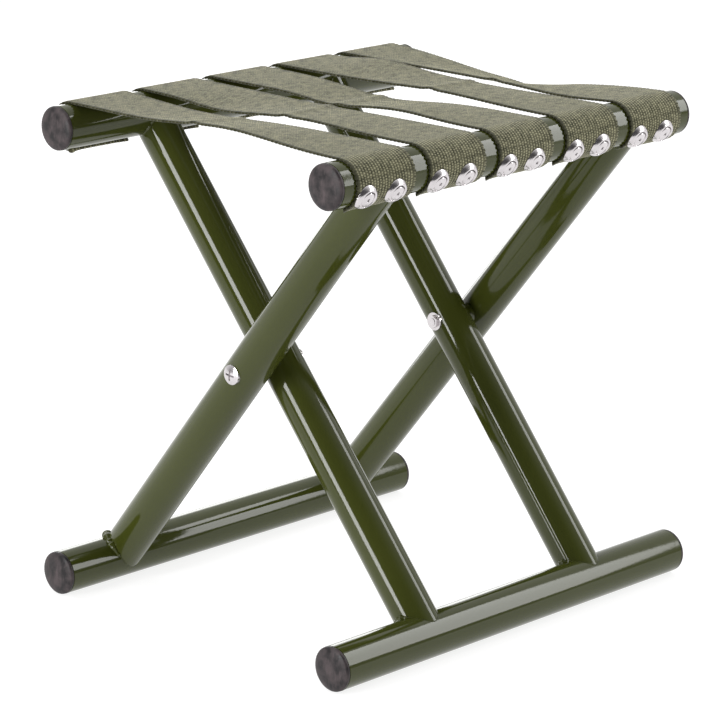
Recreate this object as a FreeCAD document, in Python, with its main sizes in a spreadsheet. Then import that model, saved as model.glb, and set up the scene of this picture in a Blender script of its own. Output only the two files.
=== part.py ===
import FreeCAD, Part

import os

import Sketcher

from FreeCAD import Placement, Rotation, Vector

# Folding camp stool: two crossed frames of round steel tube on a pair of pivot bolts,
# with five webbing straps riveted over the two top rails.
# +X runs along the rails, +Y to the back and +Z up; the origin is on the floor under the middle.
# The outer frame has its foot rail at the back and its seat rail at the front, and the
# inner frame the other way round, with its legs just inside the outer frame's legs.

SIZES = {
    # tubes
    "rail_length": 276,
    "rail_dia": 25,
    "leg_dia": 24,
    "tube_wall": 1.0,
    # stance: the distances between the rails' axes, and where the legs meet the rails along X
    "foot_spacing": 220,
    "seat_spacing": 209,
    "rise": 260,
    "outer_foot_place": 92.5,
    "outer_seat_place": 96.5,
    "inner_foot_place": 67,
    "inner_seat_place": 69.5,
    "bead_size": 1.6,
    "bead_room": 0.4,
    # domed rubber plugs in the rails' ends
    "plug_rim": 1.5,
    "plug_dome": 2.2,
    "plug_rim_dia": 24.8,
    "plug_stem": 12,
    # pivot: screw, saddle spacers between the legs, washer and thin nut
    "bolt_dia": 4.5,
    "bolt_head_dia": 11.2,
    "bolt_head_crown": 2,
    "bolt_head_ball": 12,
    "bolt_tail": 0.4,
    "cross_length": 6.4,
    "cross_width": 1,
    "cross_depth": 1.4,
    "pivot_gap": 0.08,
    "saddle_dia": 13,
    "washer_dia": 10.6,
    "washer_thick": 0.8,
    "nut_corner_dia": 7.8,
    "nut_height": 1.5,
    "nut_ball": 3.85,
    # webbing straps
    "strap_width": 41,
    "strap_pitch": 54.2,
    "strap_thick": 1.6,
    "strap_wrap": 184,
    "strap_flat": 6,
    "drop_1": 1,
    "drop_2": 3,
    "drop_3": 0,
    "drop_4": 4,
    "drop_5": 8,
    # rivets and their cup washers, two to a strap end, below the rail's outer side
    "rivet_spacing": 22,
    "rivet_shift": 3,
    "rivet_below": 26,
    "rivet_dia": 4.8,
    "rivet_flange_dia": 8.8,
    "rivet_flange": 1.1,
    "rivet_hole_dia": 2.6,
    "rivet_hole_depth": 2.4,
    "rivet_tail": 5,
    "cup_dia": 14.6,
    "cup_crown_dia": 10.6,
    "cup_height": 2.1,
    "cup_seat": 1,
    "cup_lip": 0.4,
    "cup_skirt": 3,
}

STRAPS = 5
SIDES = {"left": -1, "right": 1}
# Each frame's own words: the side of its foot rail and the side of its seat rail along Y
FRAMES = {"outer": (1, -1), "inner": (-1, 1)}

doc = FreeCAD.newDocument("camp_stool")
sheet = doc.addObject("Spreadsheet::Sheet", "Sizes")
for row, (alias, number) in enumerate(SIZES.items(), start=1):
    sheet.set(f"A{row}", alias)
    sheet.set(f"B{row}", str(number))
    sheet.setAlias(f"B{row}", alias)
doc.recompute()

nodes = []

ALONG_X = Rotation(Vector(0, 0, 1), Vector(1, 0, 0))
UPRIGHT = Rotation()

SEAT_HEIGHT = "(Sizes.rail_dia / 2 + Sizes.rise)"
# Height of the pivot: each leg's axis crosses the other frame's in the plane Y = 0
FOOT_SHARE = "(Sizes.foot_spacing / (Sizes.foot_spacing + Sizes.seat_spacing))"
PIVOT_HEIGHT = f"(Sizes.rail_dia / 2 + Sizes.rise * {FOOT_SHARE})"
TOP_OF_RAIL = f"({SEAT_HEIGHT} + Sizes.rail_dia / 2)"


def number(expression):
    """The value of an expression on the sheet, as a plain number."""
    return float(sheet.evalExpression(expression))


def point(x, y, z):
    """A point whose coordinates are expressions on the sheet."""
    return Vector(number(str(x)), number(str(y)), number(str(z)))


def primitive(kind, name, sizes, base=None, turn=UPRIGHT):
    """A Part primitive with its sizes bound to the sheet, placed at base."""
    solid = doc.addObject(kind, name)
    for key, expression in sizes.items():
        solid.setExpression(key, expression)
    solid.Placement = Placement(base or Vector(), turn)
    return solid


def cylinder(name, dia, length, base=None, turn=UPRIGHT, **more):
    return primitive("Part::Cylinder", name, {"Radius": f"({dia}) / 2", "Height": length, **more}, base, turn)


def boolean(kind, name, first, second):
    """Part::Cut or Part::Common of two objects."""
    result = doc.addObject(kind, name)
    result.Base, result.Tool = first, second
    return result


def together(name, pieces):
    """Several solids as one: fused where they touch, side by side where they don't."""
    result = doc.addObject("Part::MultiFuse", name)
    result.Shapes = pieces
    return result


def node(label, piece):
    """Name a finished sub-part; its label names its file."""
    piece.Label = label
    nodes.append(piece)
    return piece


def closed_outline(sketch, corners):
    """Straight sides through corners given as pairs of expressions, each corner bound to the sheet."""
    places = [Vector(number(across), number(up), 0) for across, up in corners]
    for k, place in enumerate(places):
        sketch.addGeometry(Part.LineSegment(place, places[(k + 1) % len(places)]))
    for k, (across, up) in enumerate(corners):
        sketch.addConstraint(Sketcher.Constraint("Coincident", k, 2, (k + 1) % len(places), 1))
        for way, expression in (("DistanceX", across), ("DistanceY", up)):
            here = sketch.addConstraint(Sketcher.Constraint(way, -1, 1, k, 1, number(expression)))
            sketch.setExpression(f"Constraints[{here}]", expression)


def body_with_sketch(name, plane, corners):
    """A PartDesign body holding one closed sketch on one of its own origin planes."""
    body = doc.addObject("PartDesign::Body", name)
    sketch = body.newObject("Sketcher::SketchObject", name + "_sketch")
    flat = [part for part in body.Origin.OriginFeatures if part.Role == plane][0]
    sketch.AttachmentSupport = [(flat, "")]
    sketch.MapMode = "FlatFace"
    closed_outline(sketch, corners)
    return body, sketch


def turned(name, corners):
    """A body turned about its own Z axis from an outline of (radius, height) corners."""
    body, sketch = body_with_sketch(name, "XZ_Plane", corners)
    turning = body.newObject("PartDesign::Revolution", name + "_turning")
    turning.Profile = sketch
    turning.ReferenceAxis = (sketch, ["V_Axis"])
    turning.Angle = 360
    return body


def copies(name, master, placements):
    """One master piece repeated at several placements."""
    links = []
    for k, placement in enumerate(placements, start=1):
        link = doc.addObject("App::Link", f"{name}_{k}")
        link.LinkedObject = master
        link.Placement = placement
        links.append(link)
    group = doc.addObject("Part::Compound", name)
    group.Links = links
    return group


def rail_height(end):
    return "Sizes.rail_dia / 2" if end == "foot" else SEAT_HEIGHT


def rail_start(frame, end):
    """Where a rail's axis meets its left end."""
    side = FRAMES[frame][0 if end == "foot" else 1]
    return point("-Sizes.rail_length / 2", f"{side} * Sizes.{end}_spacing / 2", rail_height(end))


def solid_rail(frame, end, name, extra="0"):
    """A rail as a solid bar, thicker than the tube by extra all round."""
    dia = f"Sizes.rail_dia + 2 * {extra}"
    return cylinder(name, dia, "Sizes.rail_length", rail_start(frame, end), ALONG_X)


def leg_line(frame, side):
    """The leg's axis: its start on the foot rail's axis and its turn from upright."""
    foot = rail_start(frame, "foot")
    seat = rail_start(frame, "seat")
    foot.x = side * number(f"Sizes.{frame}_foot_place")
    seat.x = side * number(f"Sizes.{frame}_seat_place")
    return foot, Rotation(Vector(0, 0, 1), seat - foot)


def leg_length(frame):
    """The distance between the axes of the frame's two rails, along the leg."""
    across = "(Sizes.foot_spacing + Sizes.seat_spacing) / 2"
    return f"hypot({across}; Sizes.rise; Sizes.{frame}_seat_place - Sizes.{frame}_foot_place)"


def solid_leg(frame, side, name, dia="Sizes.leg_dia"):
    start, turn = leg_line(frame, side)
    return cylinder(name, dia, leg_length(frame), start, turn)


def rivet_places(frame):
    """Where the frame's rivets go through the straps: on the strap's outside, pointing outwards."""
    side = FRAMES[frame][1]
    turn = Rotation(Vector(1, 0, 0), side * -(90 + number("Sizes.rivet_below")))
    out = turn.multVec(Vector(0, 0, 1))
    reach = number("Sizes.rail_dia / 2 + Sizes.strap_thick")
    axis = rail_start(frame, "seat")
    places = []
    for strap in range(STRAPS):
        for half in (-0.5, 0.5):
            middle = number(f"{strap - (STRAPS - 1) / 2} * Sizes.strap_pitch + {side} * Sizes.rivet_shift")
            x = middle + half * number("Sizes.rivet_spacing")
            places.append(Placement(Vector(x, axis.y, axis.z) + out * reach, turn))
    return places


def pivot_place(side, x):
    """A point on the pivot's axis at the distance x from the middle, pointing outwards."""
    turn = Rotation(Vector(0, 0, 1), Vector(side, 0, 0))
    return Placement(point(f"{side} * ({x})", "0", PIVOT_HEIGHT), turn)


def on_pivot(name, side, dia, low, high):
    """A round bar on the pivot's axis between two distances from the middle."""
    place = pivot_place(side, low)
    return cylinder(name, dia, f"({high}) - ({low})", place.Base, place.Rotation)


def leg_place_at_pivot(frame):
    """How far out the leg's axis is at the pivot's height."""
    foot, seat = f"Sizes.{frame}_foot_place", f"Sizes.{frame}_seat_place"
    return f"({foot} + ({seat} - {foot}) * {FOOT_SHARE})"


OUTER_LEG = leg_place_at_pivot("outer")
INNER_LEG = leg_place_at_pivot("inner")
BETWEEN_LEGS = f"(({OUTER_LEG} + {INNER_LEG}) / 2)"
NUT_SEAT = f"({INNER_LEG} - Sizes.leg_dia / 2 - Sizes.washer_thick)"


# ---- Tubes: two rails and two legs to a frame ----


def build_rails(frame, drill):
    """The frame's foot rail and seat rail; the seat rail is drilled for its rivets."""
    for end in ("foot", "seat"):
        name = f"{frame}_{end}_rail"
        bar = solid_rail(frame, end, name + "_bar")
        bore = cylinder(
            name + "_bore",
            "Sizes.rail_dia - 2 * Sizes.tube_wall",
            "Sizes.rail_length",
            rail_start(frame, end),
            ALONG_X,
        )
        tube = boolean("Part::Cut", name + "_tube", bar, bore)
        if end == "seat":
            tube = boolean("Part::Cut", name + "_drilled", tube, drill)
        node(name, tube)


def build_leg(frame, word):
    """A leg: a tube coped to fit both rails, with the pivot's hole through it."""
    side = SIDES[word]
    name = f"{frame}_leg_{word}"
    bar = solid_leg(frame, side, name + "_bar")
    bore = solid_leg(frame, side, name + "_bore", "Sizes.leg_dia - 2 * Sizes.tube_wall")
    foot = solid_rail(frame, "foot", name + "_foot_cope")
    seat = solid_rail(frame, "seat", name + "_seat_cope")
    room = "0" if frame == "outer" else "2 * Sizes.pivot_gap"
    hole = pivot_hole(name + "_hole", side, room)
    node(name, boolean("Part::Cut", name + "_tube", bar, together(name + "_cuts", [bore, foot, seat, hole])))


def build_beads(frame):
    """Weld beads: a ring round each leg where it lands on its rail."""
    rings = []
    for word, side in SIDES.items():
        for end in ("foot", "seat"):
            name = f"{frame}_{end}_bead_{word}"
            fat_leg = solid_leg(frame, side, name + "_sleeve", "Sizes.leg_dia + 2 * Sizes.bead_size")
            fat_rail = solid_rail(frame, end, name + "_collar", "Sizes.bead_size")
            core = together(
                name + "_core",
                [solid_leg(frame, side, name + "_leg"), solid_rail(frame, end, name + "_rail")],
            )
            blank = boolean("Part::Common", name + "_blank", fat_leg, fat_rail)
            rings.append(boolean("Part::Cut", name + "_ring", blank, core))
    node(f"{frame}_weld_beads", together(f"{frame}_beads", rings))


def build_plug(frame, end, word):
    """A rubber plug: a stem inside the tube, a thin rim and a low dome."""
    side = SIDES[word]
    name = f"{frame}_{end}_plug_{word}"
    mouth = rail_start(frame, end)
    mouth.x = side * number("Sizes.rail_length / 2")
    out = Vector(side, 0, 0)
    turn = Rotation(Vector(0, 0, 1), out)
    stem = cylinder(
        name + "_stem",
        "Sizes.rail_dia - 2 * Sizes.tube_wall",
        "Sizes.plug_stem",
        mouth - out * number("Sizes.plug_stem"),
        turn,
    )
    reach = "Sizes.plug_rim + Sizes.plug_dome"
    rim_and_dome = cylinder(name + "_rim", "Sizes.plug_rim_dia", reach, mouth, turn)
    ball_radius = "((pow(Sizes.plug_rim_dia / 2; 2) + pow(Sizes.plug_dome; 2)) / (2 * Sizes.plug_dome))"
    centre = mouth + out * number(f"{reach} - {ball_radius}")
    ball = primitive("Part::Sphere", name + "_ball", {"Radius": ball_radius}, centre)
    head = boolean("Part::Common", name + "_head", rim_and_dome, ball)
    node(name, together(name + "_whole", [stem, head]))


# ---- Pivot: a screw through both legs on each side ----


def pivot_hole(name, side, room):
    """A bar on the pivot's axis that drills one side of the stool, wider than the screw by room."""
    dia = f"Sizes.bolt_dia + {room}"
    return on_pivot(name, side, dia, "Sizes.saddle_dia", "Sizes.rail_length / 2")


def build_bolt(word):
    """The pivot screw: a domed head with a cross recess, seated on the leg's round side, and a long shank."""
    side = SIDES[word]
    name = f"pivot_bolt_{word}"
    face = f"({OUTER_LEG} + Sizes.leg_dia / 2)"
    blank = on_pivot(
        name + "_blank", side, "Sizes.bolt_head_dia", OUTER_LEG, f"{face} + Sizes.bolt_head_crown"
    )
    centre = pivot_place(side, f"{face} + Sizes.bolt_head_crown - Sizes.bolt_head_ball").Base
    ball = primitive("Part::Sphere", name + "_ball", {"Radius": "Sizes.bolt_head_ball"}, centre)
    domed = boolean("Part::Common", name + "_domed", blank, ball)
    arms = []
    top = pivot_place(side, f"{face} + Sizes.bolt_head_crown - Sizes.cross_depth")
    for k, angle in enumerate((-6, 84)):
        turn = top.Rotation * Rotation(Vector(0, 0, 1), angle)
        corner = turn.multVec(point("-Sizes.cross_length / 2", "-Sizes.cross_width / 2", "0"))
        sizes = {
            "Length": "Sizes.cross_length",
            "Width": "Sizes.cross_width",
            "Height": "2 * Sizes.cross_depth",
        }
        arms.append(primitive("Part::Box", f"{name}_cross_{k}", sizes, top.Base + corner, turn))
    leg = solid_leg("outer", side, name + "_leg")
    head = boolean("Part::Cut", name + "_head", domed, together(name + "_away", [leg, *arms]))
    shank = on_pivot(
        name + "_shank", side, "Sizes.bolt_dia", f"{NUT_SEAT} - Sizes.nut_height - Sizes.bolt_tail", face
    )
    node(name, together(name + "_whole", [head, shank]))


def build_saddle(label, word, frame, low, high, dia, room):
    """A washer with one face hollowed to sit on a round leg."""
    side = SIDES[word]
    name = f"{label}_{word}"
    blank = on_pivot(name + "_blank", side, dia, low, high)
    hole = pivot_hole(name + "_hole", side, room)
    away = together(name + "_away", [solid_leg(frame, side, name + "_leg"), hole])
    node(name, boolean("Part::Cut", name + "_washer", blank, away))


def build_nut(word):
    """A thin hexagon nut with its corners rounded off."""
    side = SIDES[word]
    name = f"pivot_nut_{word}"
    place = pivot_place(side, f"{NUT_SEAT} - Sizes.pivot_gap - Sizes.nut_height")
    sizes = {"Circumradius": "Sizes.nut_corner_dia / 2", "Height": "Sizes.nut_height"}
    hexagon = primitive("Part::Prism", name + "_hexagon", sizes, place.Base, place.Rotation)
    centre = pivot_place(side, f"{NUT_SEAT} - Sizes.pivot_gap - Sizes.nut_height / 2").Base
    ball = primitive("Part::Sphere", name + "_ball", {"Radius": "Sizes.nut_ball"}, centre)
    rounded = boolean("Part::Common", name + "_rounded", hexagon, ball)
    hole = pivot_hole(name + "_hole", side, "0")
    node(name, boolean("Part::Cut", name + "_whole", rounded, hole))


# ---- Seat: five straps, each in one span and two ends round the rails ----


def strap_left_edge(strap):
    return f"({strap - (STRAPS + 1) / 2} * Sizes.strap_pitch - Sizes.strap_width / 2)"


def build_strap_end(strap, frame, drill):
    """The strap's end: from the top of the seat rail down its outer side and under it, clear of the legs."""
    side = FRAMES[frame][1]
    name = f"strap_{strap}_{'front' if side < 0 else 'back'}_end"
    axis = rail_start(frame, "seat")
    start = Vector(number(strap_left_edge(strap)), axis.y, axis.z)
    # The cylinder's arc starts at the top of the rail and turns outwards
    first = Rotation(ALONG_X) * Rotation(Vector(0, 0, 1), 180)
    if side > 0:
        first = first * Rotation(Vector(0, 0, 1), -number("Sizes.strap_wrap"))
    outside = cylinder(
        name + "_outside", "Sizes.rail_dia + 2 * Sizes.strap_thick", "Sizes.strap_width", start, first,
        Angle="Sizes.strap_wrap",
    )
    inside = cylinder(name + "_inside", "Sizes.rail_dia", "Sizes.strap_width", start, first)
    sleeve = "Sizes.leg_dia + 2 * (Sizes.bead_size + Sizes.bead_room)"
    legs = [solid_leg(frame, SIDES[word], f"{name}_round_leg_{word}", sleeve) for word in SIDES]
    away = together(name + "_away", [inside, drill, *legs])
    node(name, boolean("Part::Cut", name + "_wrap", outside, away))


def build_strap_span(strap):
    """The strap's span: level off each rail, then falling to the crease across its middle."""
    name = f"strap_{strap}_span"
    drop = f"Sizes.drop_{strap}"
    rail = "Sizes.seat_spacing / 2"
    off_rail = f"({rail} - Sizes.strap_flat)"
    under, over = TOP_OF_RAIL, f"({TOP_OF_RAIL} + Sizes.strap_thick)"
    if number(drop) > 0:
        corners = [
            (f"-{rail}", under), (f"-{off_rail}", under), ("0", f"{under} - {drop}"), (off_rail, under),
            (rail, under), (rail, over), (off_rail, over), ("0", f"{over} - {drop}"),
            (f"-{off_rail}", over), (f"-{rail}", over),
        ]
    else:
        corners = [(f"-{rail}", under), (rail, under), (rail, over), (f"-{rail}", over)]
    body, sketch = body_with_sketch(name, "YZ_Plane", corners)
    pad = body.newObject("PartDesign::Pad", name + "_pad")
    pad.Profile = sketch
    pad.setExpression("Length", "Sizes.strap_width")
    body.Placement = Placement(point(strap_left_edge(strap), "0", "0"), UPRIGHT)
    node(name, body)


def rivet_master():
    """A blind rivet: a flange over the cup washer, a shank into the tube and a hole in the middle."""
    shank, flange, hole = "Sizes.rivet_dia / 2", "Sizes.rivet_flange_dia / 2", "Sizes.rivet_hole_dia / 2"
    tail = "-(Sizes.strap_thick + Sizes.tube_wall + Sizes.rivet_tail)"
    crown = "Sizes.cup_seat + Sizes.rivet_flange"
    return turned("rivet", [
        ("0", tail), (shank, tail), (shank, "Sizes.cup_seat"), (flange, "Sizes.cup_seat"),
        (f"{flange} * 0.8", f"{crown} * 0.92"), (hole, crown), (hole, f"{crown} - Sizes.rivet_hole_depth"),
        ("0", f"{crown} - Sizes.rivet_hole_depth"),
    ])


def cup_master():
    """A cup washer: a raised ring round a sunk seat for the rivet's flange."""
    hole, edge, crown = "Sizes.rivet_dia / 2", "Sizes.cup_dia / 2", "Sizes.cup_crown_dia / 2"
    return turned("cup", [
        (hole, "-Sizes.cup_skirt"), (edge, "-Sizes.cup_skirt"), (edge, "Sizes.cup_lip"),
        (f"({edge} * 2 + {crown}) / 3", "Sizes.cup_height * 0.75"), (crown, "Sizes.cup_height"),
        ("Sizes.rivet_flange_dia / 2 + 0.3", "Sizes.cup_seat"), (hole, "Sizes.cup_seat"),
    ])


def build_fasteners(frame, rivet, cup):
    """The frame's rivets and cup washers, the washers pressed to the round of the strap."""
    edge = "front" if FRAMES[frame][1] < 0 else "back"
    node(f"{edge}_rivets", copies(f"{edge}_rivet_copies", rivet, rivet_places(frame)))
    cups = copies(f"{edge}_cup_copies", cup, rivet_places(frame))
    strapped_rail = solid_rail(frame, "seat", f"{edge}_cup_form", "Sizes.strap_thick")
    node(f"{edge}_cup_washers", boolean("Part::Cut", f"{edge}_cup_pressed", cups, strapped_rail))


def rivet_drill(frame):
    """Bars through every rivet's place, to drill the rail's outer wall and the straps."""
    reach = number("Sizes.strap_thick + Sizes.tube_wall + Sizes.rivet_tail")
    bars = []
    for k, place in enumerate(rivet_places(frame), start=1):
        start = place.Base + place.Rotation.multVec(Vector(0, 0, -reach))
        bars.append(cylinder(f"{frame}_drill_{k}", "Sizes.rivet_dia", f"2 * {reach}", start, place.Rotation))
    return together(f"{frame}_drill", bars)


rivet = rivet_master()
cup = cup_master()
for frame in FRAMES:
    drill = rivet_drill(frame)
    build_rails(frame, drill)
    for word in SIDES:
        build_leg(frame, word)
    build_beads(frame)
    for end in ("foot", "seat"):
        for word in SIDES:
            build_plug(frame, end, word)
    for strap in range(1, STRAPS + 1):
        build_strap_end(strap, frame, drill)
    build_fasteners(frame, rivet, cup)
for strap in range(1, STRAPS + 1):
    build_strap_span(strap)
for word in SIDES:
    build_bolt(word)
    build_saddle("outer_saddle", word, "outer", BETWEEN_LEGS, OUTER_LEG, "Sizes.saddle_dia", "0")
    build_saddle(
        "inner_saddle", word, "inner", INNER_LEG, f"{BETWEEN_LEGS} - Sizes.pivot_gap", "Sizes.saddle_dia",
        "2 * Sizes.pivot_gap",
    )
    build_saddle(
        "nut_washer", word, "inner", NUT_SEAT, INNER_LEG, "Sizes.washer_dia", "2 * Sizes.pivot_gap",
    )
    build_nut(word)

doc.recompute()
faulty = [thing.Name for thing in doc.Objects if "Invalid" in thing.State or "Error" in thing.State]
if faulty:
    raise RuntimeError(f"failed to build: {faulty}")
for piece in nodes:
    if piece.Shape.isNull() or not piece.Shape.isValid():
        raise RuntimeError(f"bad shape: {piece.Label}")
os.makedirs("parts", exist_ok=True)
for piece in nodes:
    piece.Shape.exportStep(f"parts/{piece.Label}.step")
    solids = len(piece.Shape.Solids)
    print(f"{piece.Label}: {solids} solid(s), {piece.Shape.Volume:.1f} mm3")
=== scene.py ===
import math

import bpy
import numpy as np
from mathutils import Matrix, Vector


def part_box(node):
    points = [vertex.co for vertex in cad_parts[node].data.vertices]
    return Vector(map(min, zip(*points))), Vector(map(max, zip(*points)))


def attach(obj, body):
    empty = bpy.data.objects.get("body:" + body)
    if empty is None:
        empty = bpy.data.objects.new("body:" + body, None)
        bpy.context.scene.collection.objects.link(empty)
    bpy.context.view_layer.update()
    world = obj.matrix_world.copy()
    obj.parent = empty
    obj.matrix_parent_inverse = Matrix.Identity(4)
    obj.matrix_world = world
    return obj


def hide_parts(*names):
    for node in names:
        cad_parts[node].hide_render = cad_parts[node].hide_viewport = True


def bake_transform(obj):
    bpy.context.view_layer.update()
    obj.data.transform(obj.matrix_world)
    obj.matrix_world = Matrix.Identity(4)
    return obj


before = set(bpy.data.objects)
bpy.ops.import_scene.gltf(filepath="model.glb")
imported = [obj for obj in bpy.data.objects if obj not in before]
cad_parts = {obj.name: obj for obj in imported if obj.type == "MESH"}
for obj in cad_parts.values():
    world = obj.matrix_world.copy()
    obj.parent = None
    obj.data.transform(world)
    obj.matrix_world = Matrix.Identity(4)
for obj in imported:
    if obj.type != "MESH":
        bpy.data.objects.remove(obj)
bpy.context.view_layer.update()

MM = 0.001

# ---- Places and sizes, read from the frame ----

SIDES = {"left": -1, "right": 1}
ENDS = {"front": "outer", "back": "inner"}   # the frame whose seat rail is at each edge of the seat
BODY = {"outer": "outer_frame", "inner": "inner_frame"}
STRAPS = 5


def middle(node):
    low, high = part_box(node)
    return np.array((low + high) / 2)


def rail_axis(frame_word, end):
    """The middle of a rail's axis."""
    return middle(f"{frame_word}_{end}_rail")


_low, _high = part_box("outer_seat_rail")
RAIL_RADIUS = (_high.z - _low.z) / 2
RAIL_HALF = _high.x
_low, _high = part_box("strap_3_span")
STRAP_THICK = _high.z - _low.z
STRAP_WIDTH = _high.x - _low.x
STRAP_TOP = _high.z
SEAT_Y = rail_axis("inner", "seat")[1]
LEG_RADIUS = 12 * MM
MIDDLE_HEIGHT = 0.14   # the middle of the stool, where every light is aimed


def leg_axis(frame_word, side_word):
    """Points where the leg's axis meets its foot rail's and its seat rail's axis."""
    foot, seat = rail_axis(frame_word, "foot"), rail_axis(frame_word, "seat")
    low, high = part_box(f"{frame_word}_leg_{side_word}")
    near, far = sorted((abs(low.x), abs(high.x)))
    side = SIDES[side_word]
    foot[0], seat[0] = side * (near + LEG_RADIUS), side * (far - LEG_RADIUS)
    return foot, seat


# ---- Camera, light and floor ----

VIEW_AZIMUTH, VIEW_ELEVATION, VIEW_ROLL = -45.78, 15.39, 0.27
VIEW_DISTANCE = 1.935
VIEW_AIM = Vector((-0.0045, 0.0061, 0.1361))
LENS, SENSOR = 172.2, 36
FAR_CLIP = 30
ROOM_FAR = (0.66, 0.66, 0.35)     # the direction away from the camera, and up
ROOM_NEAR_LEVEL, ROOM_FAR_LEVEL = 0.08, 1.0
# How far along that direction the room starts to brighten and stops
ROOM_NEAR_EDGE, ROOM_FAR_EDGE = -0.45, 0.6
# Each softbox: azimuth and elevation in degrees, distance, width, height, glow, lean in degrees
SOFTBOXES = {
    "right_softbox": (52, 28, 1.5, 0.4, 1.45, 6, -32),
    "left_softbox": (-95, 15, 1.9, 0.5, 1.3, 13, 0),
    "top_softbox": (-158, 52, 2.2, 1.5, 1.5, 1.8, 0),
    "back_softbox": (148, 8, 2, 1.2, 0.7, 3, 0),
}
FLOOR_HALF = 6
FLOOR_GREY, FLOOR_GLOW = 0.25, 0.84


def place_camera():
    azimuth, elevation = math.radians(VIEW_AZIMUTH), math.radians(VIEW_ELEVATION)
    back = Vector((
        math.sin(azimuth) * math.cos(elevation),
        -math.cos(azimuth) * math.cos(elevation),
        math.sin(elevation),
    ))
    camera = bpy.data.objects.new("camera", bpy.data.cameras.new("camera"))
    camera.data.lens = LENS
    camera.data.sensor_width = SENSOR
    camera.data.clip_end = FAR_CLIP
    turn = back.to_track_quat("Z", "Y").to_matrix() @ Matrix.Rotation(math.radians(VIEW_ROLL), 3, "Z")
    camera.matrix_world = Matrix.Translation(VIEW_AIM + back * VIEW_DISTANCE) @ turn.to_4x4()
    bpy.context.scene.collection.objects.link(camera)
    bpy.context.scene.camera = camera


def softbox(name, azimuth, elevation, distance, width, height, glow, lean):
    """A rectangular area light facing the stool's middle: its power is glow times pi times its area, so glow
    is how bright its face looks. It is turned about its own beam by lean degrees."""
    light = bpy.data.lights.new(name, "AREA")
    light.shape = "RECTANGLE"
    light.size, light.size_y = width, height
    light.energy = glow * math.pi * width * height
    a, e = math.radians(azimuth), math.radians(elevation)
    out = Vector((math.sin(a) * math.cos(e), -math.cos(a) * math.cos(e), math.sin(e)))
    lamp = bpy.data.objects.new(name, light)
    turn = out.to_track_quat("Z", "Y").to_matrix() @ Matrix.Rotation(math.radians(lean), 3, "Z")
    lamp.matrix_world = Matrix.Translation(Vector((0, 0, MIDDLE_HEIGHT)) + out * distance) @ turn.to_4x4()
    bpy.context.scene.collection.objects.link(lamp)


def studio():
    """A white room, dimmer on the near side, with softboxes to the right, to the left,
    above and low at the back, where it draws the bright rims."""
    scene = bpy.context.scene
    scene.view_settings.view_transform = "Standard"
    scene.world = bpy.data.worlds.new("studio")
    scene.world.use_nodes = True
    room = Nodes(scene.world.node_tree)
    room.tree.nodes.clear()
    direction = room.make("ShaderNodeTexCoord", out="Generated")
    dot = {"operation": "DOT_PRODUCT"}
    far = room.make("ShaderNodeVectorMath", dot, {0: direction, 1: ROOM_FAR}, out="Value")
    level = room.make("ShaderNodeMapRange", {"interpolation_type": "SMOOTHSTEP"}, {
        "Value": far, "From Min": ROOM_NEAR_EDGE, "From Max": ROOM_FAR_EDGE,
        "To Min": ROOM_NEAR_LEVEL, "To Max": ROOM_FAR_LEVEL,
    })
    light = room.make("ShaderNodeBackground", {}, {"Color": (1, 1, 1, 1), "Strength": level})
    room.make("ShaderNodeOutputWorld", {}, {"Surface": light}, out=None)
    for name, setting in SOFTBOXES.items():
        softbox(name, *setting)


def lay_floor():
    corners = FLOOR_HALF * np.array([(-1, -1, 0), (1, -1, 0), (1, 1, 0), (-1, 1, 0)], float)
    floor = surface("floor", corners, np.array([[0, 1, 2, 3]]), smooth=False)
    finish = Finish("floor_paper", {
        "Base Color": (FLOOR_GREY, FLOOR_GREY, FLOOR_GREY, 1),
        "Emission Color": (1, 1, 1, 1),
        "Emission Strength": FLOOR_GLOW,
    })
    grain = finish.noise(30, 2)
    finish.feed("Roughness", 0.85 + grain * 0.1)
    floor.data.materials.append(finish.material)


# ---- Shader maths ----


class Wire:
    """One output of a node. Arithmetic on it adds Math nodes to its tree."""

    def __init__(self, nodes, socket):
        self.nodes, self.socket = nodes, socket

    def _maths(self, operation, *values):
        return self.nodes.make("ShaderNodeMath", {"operation": operation}, dict(enumerate(values)))

    def __add__(self, other):
        return self._maths("ADD", self, other)

    def __sub__(self, other):
        return self._maths("SUBTRACT", self, other)

    def __mul__(self, other):
        return self._maths("MULTIPLY", self, other)

    def __truediv__(self, other):
        return self._maths("DIVIDE", self, other)

    def __rsub__(self, other):
        return self._maths("SUBTRACT", other, self)

    def __pow__(self, other):
        return self._maths("POWER", self, other)

    __radd__, __rmul__ = __add__, __mul__

    def wave(self):
        """A cosine wave from 0 to 1 with a crest at every whole number."""
        return self._maths("COSINE", self * (2 * math.pi)) * 0.5 + 0.5

    def floor(self):
        return self._maths("FLOOR", self)

    def clamped(self):
        return self._maths("MINIMUM", self._maths("MAXIMUM", self, 0), 1)


class Nodes:
    """A node tree, with one method that makes any node."""

    def __init__(self, tree):
        self.tree = tree

    def make(self, kind, settings=None, sockets=None, out=0):
        node = self.tree.nodes.new(kind)
        for name, value in (settings or {}).items():
            setattr(node, name, value)
        for key, value in (sockets or {}).items():
            if isinstance(value, Wire):
                self.tree.links.new(value.socket, node.inputs[key])
            else:
                node.inputs[key].default_value = value
        return None if out is None else Wire(self, node.outputs[out])


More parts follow.
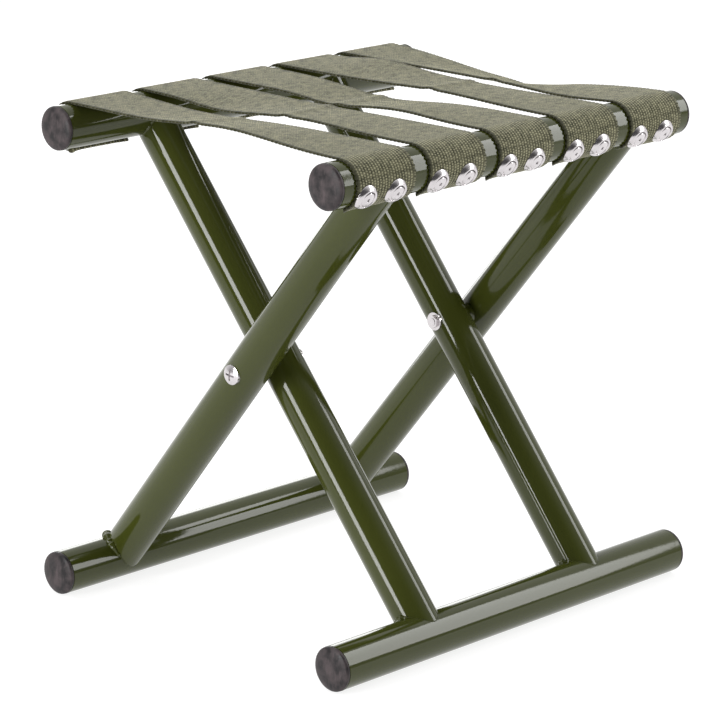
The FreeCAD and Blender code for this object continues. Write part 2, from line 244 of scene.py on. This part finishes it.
class Finish(Nodes):
    """A material on one Principled shader, whose even values are set on its own sockets."""

    def __init__(self, name, even):
        self.material = bpy.data.materials.new(name)
        self.material.use_nodes = True
        super().__init__(self.material.node_tree)
        self.shader = self.tree.nodes["Principled BSDF"]
        for socket, value in even.items():
            self.shader.inputs[socket].default_value = value
        self.place = self.make("ShaderNodeTexCoord", out="Object")

    def feed(self, socket, wire):
        self.tree.links.new(wire.socket, self.shader.inputs[socket])

    def noise(self, scale, detail=2, place=None, stretch=None):
        where = place or self.place
        if stretch:
            where = self.make("ShaderNodeMapping", {}, {"Vector": where, "Scale": stretch})
        sockets = {"Vector": where, "Scale": scale, "Detail": detail}
        return self.make("ShaderNodeTexNoise", {}, sockets, out="Fac")

    def blend(self, share, first, second):
        """A colour between two colours."""
        return self.make("ShaderNodeMix", {"data_type": "RGBA"}, {0: share, 6: first, 7: second}, out=2)

    def bump(self, height, distance, strength):
        sockets = {"Strength": strength, "Distance": distance, "Height": height}
        self.feed("Normal", self.make("ShaderNodeBump", {}, sockets, out="Normal"))


def olive_enamel():
    """Gloss olive enamel over steel: faint orange peel and a slightly uneven coat."""
    finish = Finish("olive_enamel", {"Specular IOR Level": 0.36})
    cloud = finish.noise(22, 3)
    deep, pale = (0.036, 0.043, 0.006, 1), (0.048, 0.055, 0.010, 1)
    finish.feed("Base Color", finish.blend(cloud, deep, pale))
    finish.feed("Roughness", 0.05 + cloud * 0.06)
    finish.bump(finish.noise(420, 2), 0.00005, 0.3)
    return finish.material


def webbing_cloth():
    """Olive webbing: cords along the strap, crossed by picks in a brick pattern. The threads vary in
    brightness from pick to pick and the cloth is a little faded. Painted shade darkens the grooves between
    cords, the selvedges (less at each tooth's crest) and the pressed line across each wrap."""
    even = {"Sheen Weight": 0.15, "Sheen Roughness": 0.5, "Specular IOR Level": 0.2}
    finish = Finish("olive_webbing", even)
    uv = finish.make("ShaderNodeUVMap", {"uv_map": "UVMap"}, {})
    across = finish.make("ShaderNodeSeparateXYZ", {}, {0: uv}, out="X")
    along = finish.make("ShaderNodeSeparateXYZ", {}, {0: uv}, out="Y")
    wander = (finish.noise(160, 2, uv) - 0.5) * 1.3
    cord = across / CORD_PITCH + wander * 0.25
    pick = along / PICK_PITCH + wander + cord.floor() * 0.5
    crest = (cord - 0.5).wave() ** 1.3
    dash = pick.wave() ** 0.8
    cells = finish.make("ShaderNodeCombineXYZ", {}, {0: cord, 1: pick})
    uneven = finish.noise(0.9, 3, cells)
    streak = ((finish.noise(520, 3, uv, (0.45, 1.0, 1)) - 0.5) * 1.7 + 0.5).clamped()
    rumple = finish.noise(150, 3, uv, (0.6, 1.0, 1))
    # thread is high on each cord's crest and low in the grooves between cords, where the colour sinks to
    # painted shade
    thread = (crest * (0.1 + dash * 0.9) * (uneven * 3.4 - 0.7).clamped() * 1.25).clamped()
    cloth = (thread * 0.8 + streak * 0.42 + rumple * 0.5 - 0.32).clamped()
    # Painted shade along both side edges of the strap, where its edge stands off the rail and its thickness
    # lies in shadow; less of it at each tooth's crest
    side = across * (2 / STRAP_WIDTH) - 1
    painted_edge_shade = ((side * side - 0.88) * 9).clamped()
    tooth = (along / (2 * PICK_PITCH)).wave()
    # The pressed line's mask, darkened below as painted shade
    tuck_groove_and_shade = finish.make("ShaderNodeAttribute", {"attribute_name": "tuck_groove_and_shade"}, {}, out="Fac")
    # shade: painted shade at the selvedges and along the pressed line across each wrap
    shade = 1 - (painted_edge_shade * (0.85 - tooth * 0.6) + tuck_groove_and_shade * 0.5).clamped()
    fade = finish.noise(30, 3)
    # The darkest colour: painted shade in the grooves between cords, at the selvedges and along the pressed
    # line; darker random streaks lean towards it too
    groove = (0.024, 0.025, 0.009, 1)
    olive, faded_olive = (0.365, 0.35, 0.205, 1), (0.44, 0.42, 0.27, 1)
    light = finish.blend(fade, olive, faded_olive)
    finish.feed("Base Color", finish.blend(cloth * shade, groove, light))
    finish.feed("Roughness", 0.82 + streak * 0.15)
    finish.bump(thread * 0.7 + streak * 0.5, 0.0005, 0.8)
    return finish.material


def moulded_rubber():
    """Dark rubber with a dusty, faintly purple bloom in patches and short scuffs."""
    finish = Finish("plug_rubber", {"Specular IOR Level": 0.3})
    bloom = (finish.noise(150, 5) * 3.4 - 1.3).clamped()
    scuff = ((finish.noise(260, 4, stretch=(1, 2.5, 0.7)) - 0.55) * 5).clamped()
    fine = finish.noise(1400, 3)
    dust = (bloom * 0.75 + scuff * 0.45 + fine * 0.12).clamped()
    clean, dusty = (0.005, 0.004, 0.005, 1), (0.075, 0.058, 0.060, 1)
    finish.feed("Base Color", finish.blend(dust, clean, dusty))
    finish.feed("Roughness", 0.36 + dust * 0.3)
    finish.bump(bloom * 0.6 + fine * 0.4, 0.00012, 0.5)
    return finish.material


def bright_plating():
    """Bright zinc plating with fine handling marks."""
    finish = Finish("bright_plating", {"Metallic": 1.0})
    haze = finish.noise(260, 3)
    dull, bright = (0.56, 0.53, 0.54, 1), (0.70, 0.67, 0.68, 1)
    finish.feed("Base Color", finish.blend(haze, dull, bright))
    finish.feed("Roughness", 0.14 + haze * 0.16)
    finish.bump(finish.noise(1500, 2), 0.00003, 0.3)
    return finish.material


# ---- Surfaces ----


def surface(name, points, quads, rims=(), uv=None, smooth=True):
    """A mesh from an array of points, an array of four-sided faces and any end faces."""
    mesh = bpy.data.meshes.new(name)
    points = np.asarray(points, float).reshape(-1, 3)
    corners = np.concatenate([quads.ravel(), *[np.asarray(rim) for rim in rims]]).astype(np.int32)
    sizes = np.array([4] * len(quads) + [len(rim) for rim in rims])
    mesh.vertices.add(len(points))
    mesh.vertices.foreach_set("co", points.ravel())
    mesh.loops.add(len(corners))
    mesh.loops.foreach_set("vertex_index", corners)
    mesh.polygons.add(len(sizes))
    mesh.polygons.foreach_set("loop_start", np.concatenate([[0], np.cumsum(sizes)[:-1]]).astype(np.int32))
    mesh.update(calc_edges=True)
    mesh.validate()
    if uv is not None:
        layer = mesh.uv_layers.new(name="UVMap")
        layer.data.foreach_set("uv", uv.reshape(-1, 2)[corners].astype(np.float32).ravel())
    if smooth:
        mesh.shade_smooth()
    thing = bpy.data.objects.new(name, mesh)
    bpy.context.scene.collection.objects.link(thing)
    return thing


def grid_quads(rows, columns, close_rows=False):
    """Faces of a grid of points that closes on itself across its columns, and along its rows if asked."""
    row = np.arange(rows if close_rows else rows - 1)[:, None]
    column = np.arange(columns)[None, :]
    below, right = (row + 1) % rows, (column + 1) % columns
    here = [row * columns + column, row * columns + right, below * columns + right, below * columns + column]
    return np.stack(np.broadcast_arrays(*here), -1).reshape(-1, 4)


def turned_points(profile, around):
    """A (radius, height) profile turned about Z: radius times (cos, sin) of the angle, and the height."""
    angle = np.linspace(0, 2 * math.pi, around, endpoint=False)
    radius, height = profile[:, 0][:, None], profile[:, 1][:, None]
    x, y = radius * np.cos(angle), radius * np.sin(angle)
    return np.stack([x, y, np.broadcast_to(height, x.shape)], -1)


def placed(points, place):
    """Points moved by a 4 by 4 matrix."""
    return points @ place[:3, :3].T + place[:3, 3]


def standing(origin, out, up=(1, 0, 0)):
    """A matrix whose Z axis points along out, from origin, with its X axis near up."""
    z = np.asarray(out, float) / np.linalg.norm(out)
    x = np.asarray(up, float) - np.dot(up, z) * z
    x /= np.linalg.norm(x)
    place = np.eye(4)
    place[:3, 0], place[:3, 1], place[:3, 2], place[:3, 3] = x, np.cross(z, x), z, origin
    return place


def joined(name, shapes):
    """Several (points, quads, rims) shapes as one mesh."""
    points, quads, rims, start = [], [], [], 0
    for some_points, some_quads, some_rims in shapes:
        flat = some_points.reshape(-1, 3)
        points.append(flat)
        quads.append(some_quads + start)
        rims += [np.asarray(rim) + start for rim in some_rims]
        start += len(flat)
    return surface(name, np.concatenate(points), np.concatenate(quads), rims)


def end_rims(rows, columns):
    """The two end faces of a tube of points, both facing outwards."""
    return [np.arange(columns)[::-1], np.arange(columns) + (rows - 1) * columns]


# ---- Straps ----

CORD_PITCH = 2.1 * MM
PICK_PITCH = 1.4 * MM
WEAVE_HIGH = 0.3 * MM
SELVEDGE_TOOTH = 1.0 * MM
WRAP = math.radians(184)
CROSS_STEP = 0.5 * MM
ALONG_STEP = 0.52 * MM

# How each strap's near (left) and far (right) edge lines leave the straight: lifts (or dips, below 0) in
# mm, each with its place along Y and its half-width in mm
HANG = {
    1: {"near": [(3.9, -22, 44), (-0.6, 46, 30)], "far": [(-3.0, 40, 52)]},
    2: {"near": [(-2.9, 42, 30), (1.5, -28, 30)], "far": [(-0.9, 10, 60)]},
    3: {"near": [(-2.6, 10, 24), (1.6, -46, 26)], "far": [(-4.7, 5, 42)]},
    4: {"near": [(2.1, -22, 44)], "far": [(3.0, 58, 30), (-0.8, -30, 40)]},
    5: {"near": [(-1.9, -66, 34)], "far": [(-8.6, 4, 62), (-3.2, -13, 15)]},
}
CREASES = {1: 8, 2: -6, 3: 6, 4: -12, 5: -11}   # where each strap's crosswise crease is along Y, in mm
CREASE_LIFT = 0.8 * MM
CREASE_HALF = 4 * MM
CREASE_SLANT = 7 * MM
FLARE_FROM, FLARE_OVER = math.radians(150), math.radians(34)   # where a strap's end starts to stand off
STAND_OFF = 0.2                 # how far a strap's end stands off its rail, in mm
RIGHT_STAND_OFF = 0.4           # how much more at its right corner, in mm
CURL = {-1: 1.1, 1: 0.3}        # how much more at its left corner, at the front and at the back, in mm
CORNER_ROLL = math.radians(15)  # how far the left corner of each front end is rolled back up
ROLL_LENGTH = 5 * MM            # the length at each strap's end where its left corner is rolled thicker
ROLL_THICKER = 1.1
LEG_GAP = 2.2 * MM              # the room that a strap's end leaves round a leg
TUCK_TURN = math.radians(73)    # the pressed line across each wrap, measured from the rail's top
TUCK_HALF = 0.55 * MM
TUCK_DEEP = 0.3 * MM
THREAD_UNEVEN = 0.035 * MM


def edge_line(y, lifts):
    """The sum of height times exp(-((y - place) / half-width) ^ 2), faded out to 0 at both rails."""
    total = sum(h * MM * np.exp(-(((y - place * MM) / (half * MM)) ** 2)) for h, place, half in lifts)
    return total * (1 - (y / SEAT_Y) ** 8)


def strap_end_angle(x, end):
    """How far round the seat rail the strap goes at each x: under the rail, but stopping short of the legs.
    Beside a leg it is pi plus the leg's lean, less the arc sine of the half chord over the wrap's radius."""
    frame_word = ENDS[end]
    stop = np.full_like(x, WRAP)
    skirt = LEG_RADIUS + LEG_GAP
    outside = RAIL_RADIUS + STRAP_THICK
    for side_word in SIDES:
        foot, seat = leg_axis(frame_word, side_word)
        lean = math.atan2(abs(seat[1] - foot[1]), seat[2] - foot[2])
        off = np.clip(1 - ((x - seat[0]) / skirt) ** 2, 0, 1)
        half = np.arcsin(np.clip(skirt * np.sqrt(off) / outside, 0, 1))
        stop = np.minimum(stop, np.where(off > 0, math.pi + lean - half, WRAP))
    return stop


def strap_surface(strap):
    """A closed section carried along the strap's middle surface: round the front rail from below, over the
    span with its dips and crease, and round the back rail. Each point is the middle surface plus the normal
    times half the thickness, with the weave's height added on the upper side."""
    low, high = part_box(f"strap_{strap}_span")
    left, width = low.x, high.x - low.x
    columns_top = int(round(width / CROSS_STEP)) + 1
    across_top = np.linspace(0, width, columns_top)
    edge_turn = np.linspace(0, math.pi, 5)[1:-1]
    across_under = np.linspace(width, 0, 12)
    half_thick = STRAP_THICK / 2
    # Closed section: top from left to right, round the right edge, underside back, round the left edge
    u = np.concatenate([across_top, width + 0 * edge_turn, across_under, 0 * edge_turn])
    lift = np.concatenate([
        np.ones(columns_top), np.cos(edge_turn), -np.ones(len(across_under)), -np.cos(edge_turn),
    ]) * half_thick
    bulge = np.concatenate([
        np.zeros(columns_top), np.sin(edge_turn), np.zeros(len(across_under)), -np.sin(edge_turn),
    ]) * half_thick * 0.7
    x = left + u
    core = RAIL_RADIUS + half_thick
    wrap_length = core * WRAP
    span_length = 2 * SEAT_Y
    rows_wrap = int(wrap_length / ALONG_STEP)
    rows_span = int(span_length / ALONG_STEP)
    # 1 at the strap's end, 0 at the rail's top
    turn_share = np.linspace(1, 0, rows_wrap, endpoint=False)[:, None]
    rolled_up = CORNER_ROLL * (1 - u / width) ** 8
    turn_front = turn_share * (strap_end_angle(x, "front") - rolled_up)[None, :]
    turn_back = turn_share[::-1] * strap_end_angle(x, "back")[None, :]
    share = u[None, :] / width
    seat_z = rail_axis("outer", "seat")[2]

    def round_rail(turn, side):
        """Mid-surface and outward normal round a seat rail, turn measured from the rail's top outwards."""
        flare = np.clip((turn - FLARE_FROM) / FLARE_OVER, 0, 1) ** 1.6
        curl = (STAND_OFF + CURL[side] * (1 - share) ** 18 + RIGHT_STAND_OFF * share ** 6) * MM
        radius = core + flare * curl
        y = side * (SEAT_Y + radius * np.sin(turn))
        z = seat_z + radius * np.cos(turn)
        return y, z, side * np.sin(turn), np.cos(turn)

    y_span = np.linspace(-SEAT_Y, SEAT_Y, rows_span)[:, None] + 0 * share
    near, far = (edge_line(y_span, HANG[strap][edge]) for edge in ("near", "far"))
    crease_y = CREASES[strap] * MM + CREASE_SLANT * (share - 0.5)
    ridge = CREASE_LIFT * np.exp(-(((y_span - crease_y) / CREASE_HALF) ** 2))
    z_span = seat_z + core + near + (far - near) * share + ridge
    slope = np.gradient(z_span, y_span[:, 0], axis=0)
    length = np.sqrt(1 + slope ** 2)
    front, back = round_rail(turn_front, -1), round_rail(turn_back, 1)
    span = (y_span, z_span, -slope / length, 1 / length)
    y, z, normal_y, normal_z = (np.concatenate(three) for three in zip(front, span[:4], back))
    along = np.concatenate([-core * turn_front, y_span + SEAT_Y, span_length + core * turn_back])
    # Weave: cords along the strap raised between grooves, each cord broken into picks, brick fashion
    cord = u[None, :] / CORD_PITCH
    crest = np.abs(np.sin(math.pi * cord)) ** 0.8
    pick = 0.5 + 0.5 * np.cos(2 * math.pi * (along / PICK_PITCH + 0.5 * np.floor(cord)))
    chance = np.random.default_rng(strap)
    uneven = chance.uniform(-1, 1, along.shape) * THREAD_UNEVEN
    past_rail_top = np.abs(along - span_length / 2) - span_length / 2
    # The pressed line across each wrap: a shallow groove in the cloth, and a mask that the cloth material
    # darkens as painted shade
    tuck_groove_and_shade = np.exp(-(((past_rail_top - core * TUCK_TURN) / TUCK_HALF) ** 2))
    relief = WEAVE_HIGH * (crest * (0.35 + 0.65 * pick) - 1) + uneven - TUCK_DEEP * tuck_groove_and_shade
    top = (lift > half_thick * 0.99)[None, :]
    near_end = np.clip((past_rail_top - wrap_length) / ROLL_LENGTH + 1, 0, 1)
    rolled = 1 + ROLL_THICKER * near_end ** 0.5 * (1 - share) ** 18
    height = lift[None, :] * rolled + np.where(top, relief, 0)
    tooth = SELVEDGE_TOOTH * np.abs(np.sin(math.pi * along / (2 * PICK_PITCH)))
    outermost = np.abs(share - 0.5) > 0.49
    x_all = x[None, :] + bulge[None, :] + np.where(outermost, np.sign(share - 0.5) * tooth, 0)
    points = np.stack([x_all, y + normal_y * height, z + normal_z * height], -1)
    rows, columns = points.shape[:2]
    uv = np.stack([np.broadcast_to(u[None, :], along.shape), along], -1)
    quads = grid_quads(rows, columns)[:, ::-1]
    rims = [rim[::-1] for rim in end_rims(rows, columns)]
    cloth = surface(f"strap_{strap}", points, quads, rims, uv)
    # Kept on the points for the cloth material, which paints shade along the pressed line
    mark = cloth.data.attributes.new("tuck_groove_and_shade", "FLOAT", "POINT")
    mark.data.foreach_set("value", tuck_groove_and_shade.astype(np.float32).ravel())
    return cloth, width, span_length + 2 * wrap_length


def make_straps(cloth_finish):
    for strap in range(1, STRAPS + 1):
        cloth, width, length = strap_surface(strap)
        cloth.data.materials.append(cloth_finish)
        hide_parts(*[f"strap_{strap}_{part}" for part in ("span", "front_end", "back_end")])
        start, end = (0, -SEAT_Y, STRAP_TOP), (0, SEAT_Y, STRAP_TOP)
        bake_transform(cloth)
        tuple(start)
        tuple(end)


# ---- Plugs ----

PLUG_RIM, PLUG_STEM_STEP, PLUG_STEM_SHOWN = 1.2 * MM, 1.3 * MM, 6 * MM
PLUG_AROUND = 64


def plug_profile():
    """From inside the tube: a stem, a short straight rim, then a dome whose radius falls as a power of the
    cosine while its height rises as the sine."""
    low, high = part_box("outer_foot_plug_right")
    crown = high.x - RAIL_HALF
    rim_radius = (high.z - low.z) / 2
    angle = np.linspace(0, math.pi / 2, 22)[:-1]
    dome_height = PLUG_RIM + (crown - PLUG_RIM) * np.sin(angle)
    dome = np.stack([rim_radius * np.cos(angle) ** 0.72, dome_height], -1)
    stem_radius = rim_radius - PLUG_STEM_STEP
    foot = np.array([
        (stem_radius, -PLUG_STEM_SHOWN),
        (stem_radius, 0),
        (rim_radius - 0.25 * MM, 0.02 * MM),
        (rim_radius, 0.3 * MM),
    ])
    crown_ring = np.array([[0.25 * MM, crown]])
    return np.concatenate([foot, dome, crown_ring])


def make_plugs(rubber):
    shape = turned_points(plug_profile(), PLUG_AROUND)
    rows = shape.shape[0]
    quads = grid_quads(rows, PLUG_AROUND)
    rims = end_rims(rows, PLUG_AROUND)
    for frame_word in ("outer", "inner"):
        for end in ("foot", "seat"):
            for side_word, side in SIDES.items():
                mouth = rail_axis(frame_word, end)
                mouth[0] = side * RAIL_HALF
                place = standing(mouth, (side, 0, 0), (0, 0, 1))
                name = f"{frame_word}_{end}_plug_cap_{side_word}"
                plug = surface(name, placed(shape, place), quads, rims)
                plug.data.materials.append(rubber)
                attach(plug, BODY[frame_word])
                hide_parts(f"{frame_word}_{end}_plug_{side_word}")


# ---- Rivets and cup washers ----

RIVET_BELOW = math.radians(28)   # how far below level each rivet points
RIVET_SPACING = 22 * MM
RIVET_SHIFT = 3 * MM
RIVET_SUNK = 0.1 * MM
CUP_AROUND = 56


def cup_shape(sit_radius):
    """A domed ring: from its rim it rises as the sine of a quarter turn to a crown, then rolls down into a
    narrow groove. Every height drops by the fall of a cylinder of sit_radius at that y."""
    inner, outer, crown = 4.5 * MM, 7.35 * MM, 1.9 * MM
    share = np.linspace(0, 1, 15)
    radius = outer - (outer - inner) * share
    height = 0.15 * MM + crown * np.sin(math.pi / 2 * np.minimum(share * 1.3, 1)) ** 0.85
    height -= 1.0 * MM * np.clip((share - 0.8) / 0.2, 0, 1) ** 2
    rise = np.stack([radius, height], -1)
    seat = np.array([(inner - 0.2 * MM, 0.8 * MM), (2.0 * MM, 0.7 * MM), (2.0 * MM, -0.5 * MM)])
    under = np.array([(outer - 0.25 * MM, -0.5 * MM), (outer + 0.05 * MM, -0.25 * MM)])
    points = turned_points(np.concatenate([rise, seat, under]), CUP_AROUND)
    fall = np.sqrt(sit_radius ** 2 - points[..., 1] ** 2) - sit_radius
    points[..., 2] += 0.8 * fall
    return points, grid_quads(points.shape[0], CUP_AROUND, close_rows=True), []


def rivet_shape():
    """A low domed flange with a hole down its middle, closed below."""
    flange, hole, seat = 4.25 * MM, 1.05 * MM, 1.2 * MM
    share = np.linspace(0, 1, 10)
    radius = flange - (flange - hole) * share
    height = seat + 0.3 * MM + 0.45 * MM * np.sin(share * math.pi * 0.62) ** 0.7
    top = np.stack([radius, height], -1)
    hollow = np.array([(hole - 0.15 * MM, top[-1, 1] - 0.2 * MM), (hole - 0.2 * MM, seat - 1.6 * MM)])
    foot = np.array([(flange - 0.35 * MM, seat - 0.4 * MM), (flange, seat)])
    points = turned_points(np.concatenate([foot, top, hollow]), CUP_AROUND)
    return points, grid_quads(points.shape[0], CUP_AROUND), end_rims(points.shape[0], CUP_AROUND)


def rivet_places(end):
    """Where each rivet stands on its strap, in the same layout as the frame's own rivets."""
    side = -1 if end == "front" else 1
    frame_word = ENDS[end]
    axis = rail_axis(frame_word, "seat")
    out = np.array([0, side * math.cos(RIVET_BELOW), -math.sin(RIVET_BELOW)])
    for strap in range(1, STRAPS + 1):
        low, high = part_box(f"strap_{strap}_span")
        for half in (-0.5, 0.5):
            x = (low.x + high.x) / 2 + side * RIVET_SHIFT + half * RIVET_SPACING
            start = np.array([x, axis[1], axis[2]]) + out * (RAIL_RADIUS + STRAP_THICK - RIVET_SUNK)
            yield standing(start, out)


def make_fasteners(plating):
    shapes = {"cup_washers": cup_shape(RAIL_RADIUS + STRAP_THICK), "rivets": rivet_shape()}
    for end, frame_word in ENDS.items():
        for word, (points, quads, rims) in shapes.items():
            copies = [(placed(points, place), quads, rims) for place in rivet_places(end)]
            group = joined(f"{end}_{word}_pressed", copies)
            group.data.materials.append(plating)
            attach(group, BODY[frame_word])
            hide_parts(f"{end}_{word}")


# ---- Weld beads ----

BEAD = {"foot": 2.8 * MM, "seat": 1.3 * MM}
BEAD_SIDE = np.array([-1.0, 0.0, 0.0])   # the welder's side of every leg: the bead is laid there
BEAD_MIDDLE = math.radians(40)           # how far round from that side the middle of the bead is
BEAD_AROUND, BEAD_SECTION = 240, 14
BEAD_LUMPS = (3, 5, 8, 11, 15, 23, 31)   # waves round the leg that add up to the lumps


def bead_shape(frame_word, end, side_word, seed):
    """A lumpy cord round the line where a leg's round side meets its rail: at each angle round the leg, the
    point on the leg at the rail's radius from the rail's axis. Its radius swells and shrinks as a sum of
    sines, is full on the welder's side and only a thin seam on the other."""
    foot, seat = leg_axis(frame_word, side_word)
    start, finish = (foot, seat) if end == "foot" else (seat, foot)
    along = (finish - start) / np.linalg.norm(finish - start)
    first = BEAD_SIDE - BEAD_SIDE @ along * along
    first /= np.linalg.norm(first)
    second = np.cross(along, first)
    angle = np.linspace(0, 2 * math.pi, BEAD_AROUND, endpoint=False)[:, None]
    leg_normal = np.cos(angle) * first + np.sin(angle) * second
    round_leg = LEG_RADIUS * leg_normal
    flat = along[1:]
    a, b = flat @ flat, round_leg[:, 1:] @ flat
    c = (round_leg[:, 1:] ** 2).sum(1) - RAIL_RADIUS ** 2
    reach = (-b + np.sqrt(b * b - a * c)) / a
    line = start + round_leg + reach[:, None] * along
    rail_normal = line - np.array([0, start[1], start[2]])
    rail_normal[:, 0] = 0
    rail_normal /= np.linalg.norm(rail_normal, axis=1)[:, None]
    chance = np.random.default_rng(seed)
    lumps = sum(
        chance.uniform(0.05, 0.13) * np.sin(count * angle[:, 0] + chance.uniform(0, 6.28))
        for count in BEAD_LUMPS
    )
    from_middle = angle[:, 0] + BEAD_MIDDLE + chance.uniform(-0.15, 0.15)
    laid = 0.1 + 0.9 * np.clip((np.cos(from_middle) - 0.35) * 2.2, 0, 1) ** 0.8
    size = BEAD[end] * laid * (0.85 + lumps)
    tangent = np.roll(line, -1, axis=0) - np.roll(line, 1, axis=0)
    tangent /= np.linalg.norm(tangent, axis=1)[:, None]
    outward = leg_normal + rail_normal
    outward -= (outward * tangent).sum(1)[:, None] * tangent
    outward /= np.linalg.norm(outward, axis=1)[:, None]
    sideways = np.cross(tangent, outward)
    turn = np.linspace(0, 2 * math.pi, BEAD_SECTION, endpoint=False)[None, :, None]
    ring = np.cos(turn) * outward[:, None, :] + np.sin(turn) * sideways[:, None, :]
    points = line[:, None, :] + size[:, None, None] * ring
    return points, grid_quads(BEAD_AROUND, BEAD_SECTION, close_rows=True), []


def make_beads(enamel):
    for frame_number, frame_word in enumerate(("outer", "inner")):
        beads = []
        for number, (end, side_word) in enumerate((e, s) for e in ("foot", "seat") for s in SIDES):
            beads.append(bead_shape(frame_word, end, side_word, 10 * frame_number + number + 1))
        welds = joined(f"{frame_word}_welds", beads)
        welds.data.materials.append(enamel)
        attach(welds, BODY[frame_word])
        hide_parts(f"{frame_word}_weld_beads")


# ---- Frame parts that keep their own shape ----


def finish_frame_parts(enamel, plating):
    for name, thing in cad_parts.items():
        bright = any(word in name for word in ("bolt", "nut"))
        tube = any(word in name for word in ("rail", "_leg_", "saddle"))
        if bright or tube:
            thing.data.materials.clear()
            thing.data.materials.append(plating if bright else enamel)


place_camera()
studio()
lay_floor()
enamel, plating = olive_enamel(), bright_plating()
finish_frame_parts(enamel, plating)
make_straps(webbing_cloth())
make_plugs(moulded_rubber())
make_fasteners(plating)
make_beads(enamel)

bpy.context.view_layer.update()
